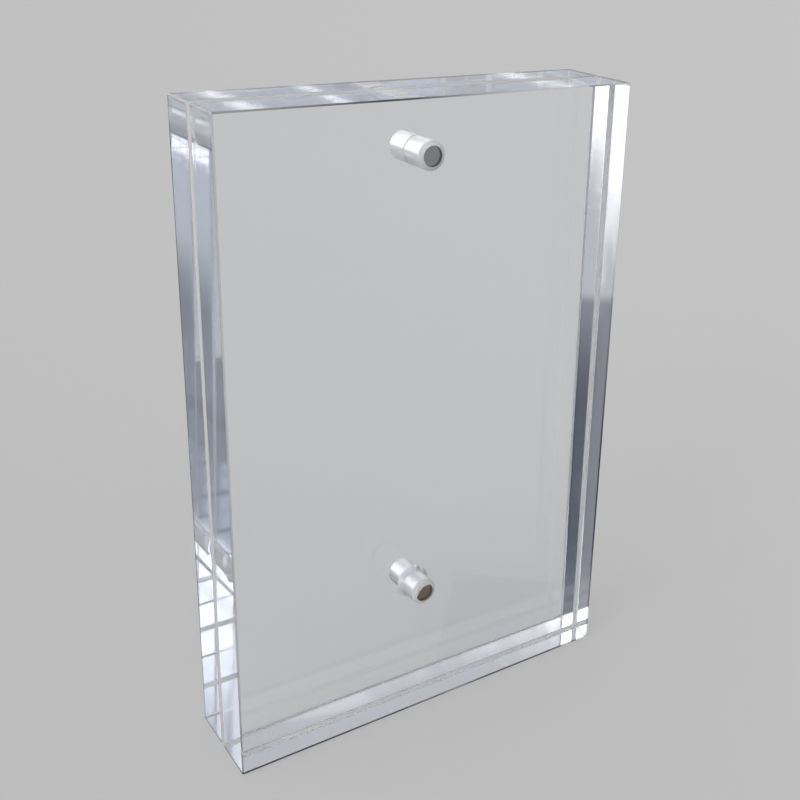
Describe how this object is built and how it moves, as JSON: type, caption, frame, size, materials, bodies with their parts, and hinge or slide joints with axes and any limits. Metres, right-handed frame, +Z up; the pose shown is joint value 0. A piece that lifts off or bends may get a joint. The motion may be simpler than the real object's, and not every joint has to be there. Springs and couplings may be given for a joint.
{
  "type": "acrylic block frame",
  "caption": "Clear rectangular block in two halves that hidden magnets hold face to face, so a print lies between them and stands upright on a desk or shelf.",
  "frame": {"origin": "middle of the base, under the plane on which the two blocks meet", "axes": "+Z up the frame's height, +X to the right seen from the front, +Y from the front to the back"},
  "size_m": [0.1016, 0.0232, 0.1524],
  "materials": {
    "clear_acrylic": "clear, polished on every face and edge",
    "magnet_plating": "bright nickel plate, slightly worn"
  },
  "bodies": {
    "back": {"back_block": "clear_acrylic", "back_upper_magnet": "magnet_plating", "back_lower_magnet": "magnet_plating"},
    "front": {"front_block": "clear_acrylic", "front_upper_magnet": "magnet_plating", "front_lower_magnet": "magnet_plating"}
  },
  "joints": [
    {"name": "front_block_pull", "type": "slide", "parent": "back", "child": "front", "axis": [0, -1, 0], "range_m": [0, 0.05]}
  ]
}
